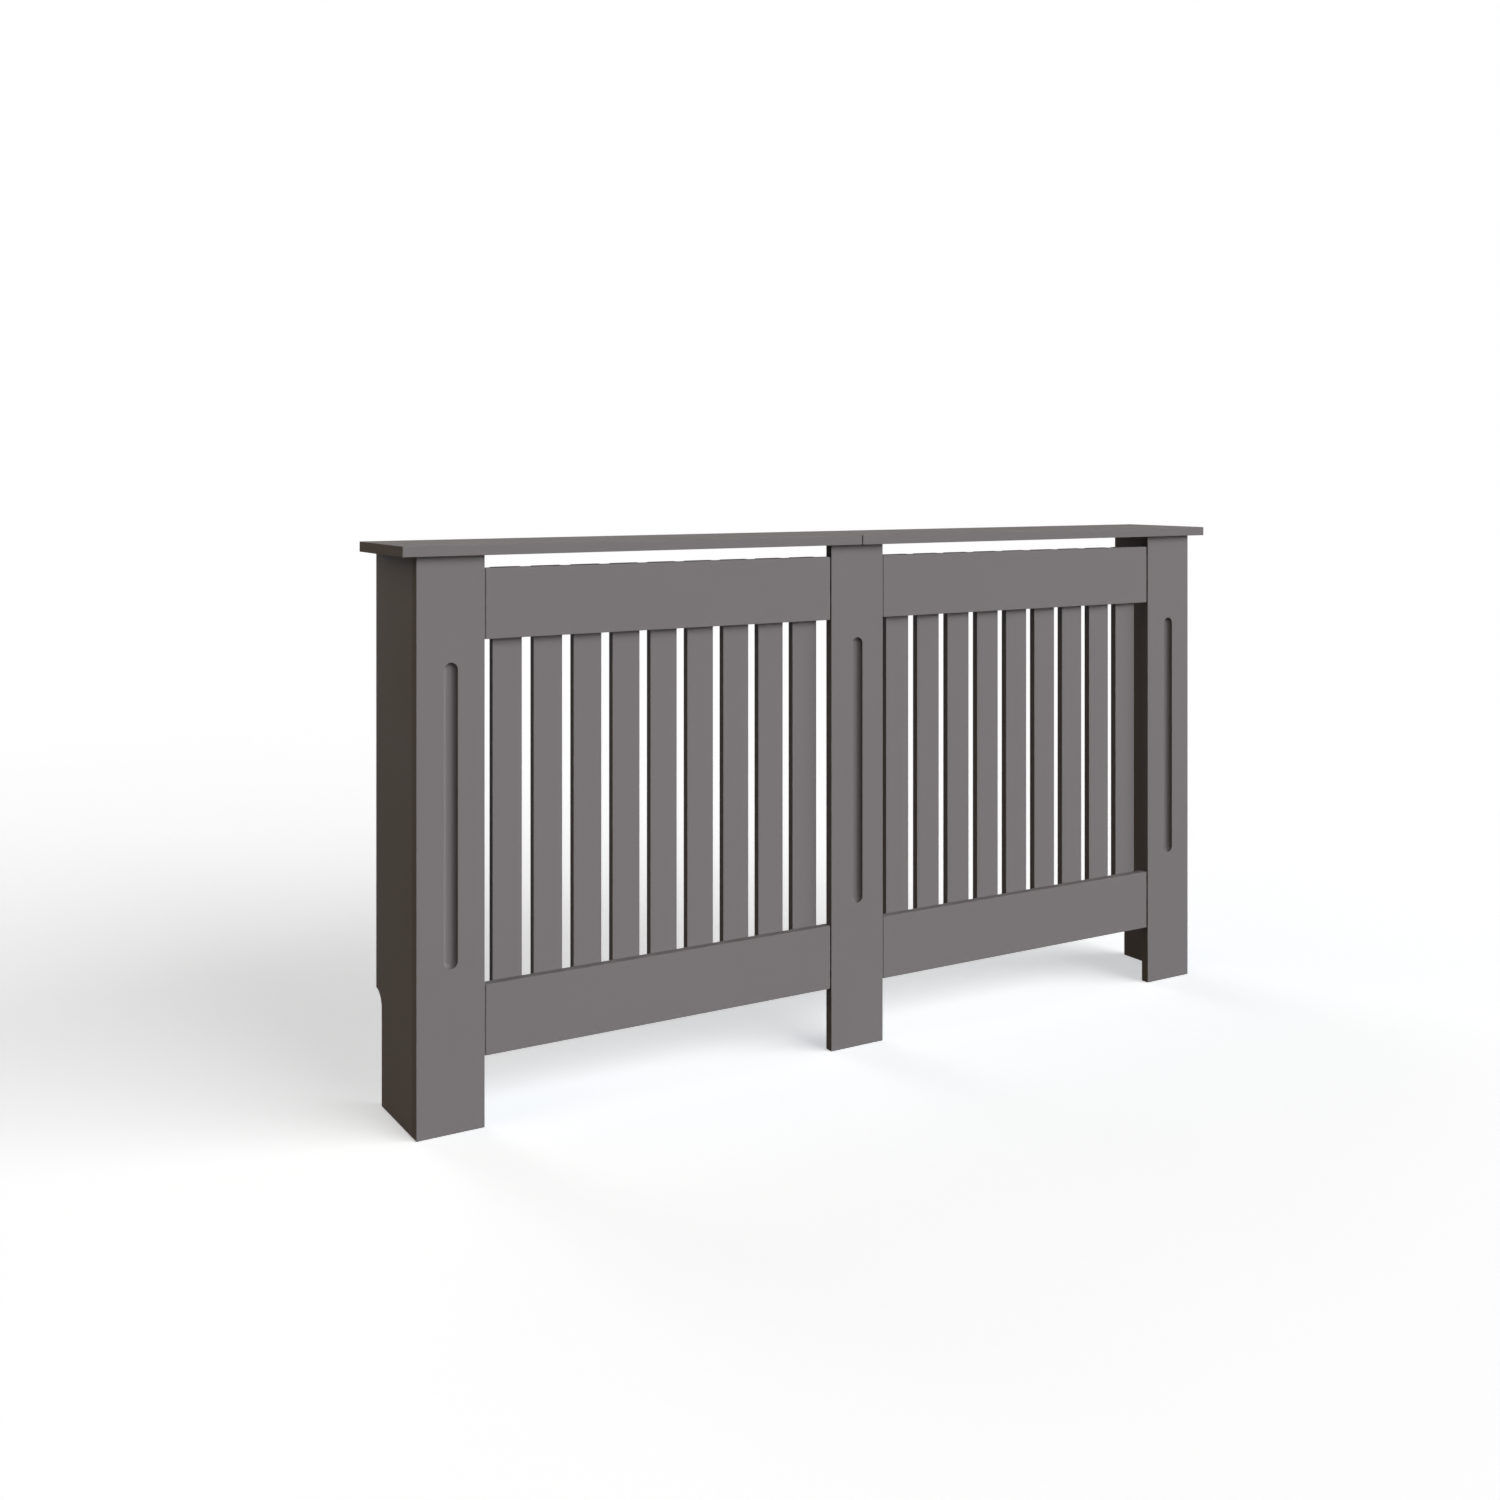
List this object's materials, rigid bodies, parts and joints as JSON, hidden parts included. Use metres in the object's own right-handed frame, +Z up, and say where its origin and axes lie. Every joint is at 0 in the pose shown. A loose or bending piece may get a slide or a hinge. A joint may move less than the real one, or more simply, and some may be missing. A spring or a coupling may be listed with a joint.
{
  "type": "radiator cover cabinet",
  "caption": "Open-backed radiator cover cabinet with a slatted front between grooved legs, a flat shelf top in two halves, and side panels notched for a skirting board.",
  "frame": {"origin": "on the floor, under the middle of the top's outline", "axes": "+X to the right as seen from the front, +Y to the wall, +Z up; the slatted front faces -Y"},
  "size_m": [1.52, 0.189, 0.82],
  "materials": {
    "painted_board": "medium-density fibreboard, sprayed satin warm grey",
    "beech_dowel": "bare beech",
    "zinc_cam": "die-cast zinc, dull",
    "plated_steel": "bright zinc plate"
  },
  "bodies": {
    "root": {"top_board_left": "painted_board", "top_board_right": "painted_board", "side_panel_left": "painted_board", "side_panel_right": "painted_board", "leg_left": "painted_board", "leg_centre": "painted_board", "leg_right": "painted_board", "top_rail_left": "painted_board", "top_rail_right": "painted_board", "bottom_rail_left": "painted_board", "bottom_rail_right": "painted_board", "slat_left_1": "painted_board", "slat_left_2": "painted_board", "slat_left_3": "painted_board", "slat_left_4": "painted_board", "slat_left_5": "painted_board", "slat_left_6": "painted_board", "slat_left_7": "painted_board", "slat_left_8": "painted_board", "slat_left_9": "painted_board", "slat_right_1": "painted_board", "slat_right_2": "painted_board", "slat_right_3": "painted_board", "slat_right_4": "painted_board", "slat_right_5": "painted_board", "slat_right_6": "painted_board", "slat_right_7": "painted_board", "slat_right_8": "painted_board", "slat_right_9": "painted_board", "bottom_rail_dowel_left_outer": "beech_dowel", "bottom_rail_dowel_left_inner": "beech_dowel", "bottom_rail_dowel_right_outer": "beech_dowel", "bottom_rail_dowel_right_inner": "beech_dowel", "top_rail_dowel_left_outer": "beech_dowel", "top_rail_dowel_left_inner": "beech_dowel", "top_rail_dowel_right_outer": "beech_dowel", "top_rail_dowel_right_inner": "beech_dowel", "leg_dowel_left": "beech_dowel", "leg_dowel_right": "beech_dowel", "rear_top_dowel_left": "beech_dowel", "rear_top_dowel_right": "beech_dowel", "centre_top_dowel_left": "beech_dowel", "centre_top_dowel_right": "beech_dowel", "lower_left_cam": "zinc_cam", "lower_right_cam": "zinc_cam", "upper_left_cam": "zinc_cam", "upper_right_cam": "zinc_cam", "top_left_cam": "zinc_cam", "top_right_cam": "zinc_cam", "lower_left_bolt": "plated_steel", "lower_right_bolt": "plated_steel", "upper_left_bolt": "plated_steel", "upper_right_bolt": "plated_steel", "top_left_bolt": "plated_steel", "top_right_bolt": "plated_steel", "joining_plate": "plated_steel", "plate_screw_left_front": "plated_steel", "plate_screw_left_rear": "plated_steel", "plate_screw_right_front": "plated_steel", "plate_screw_right_rear": "plated_steel"}
  },
  "joints": []
}
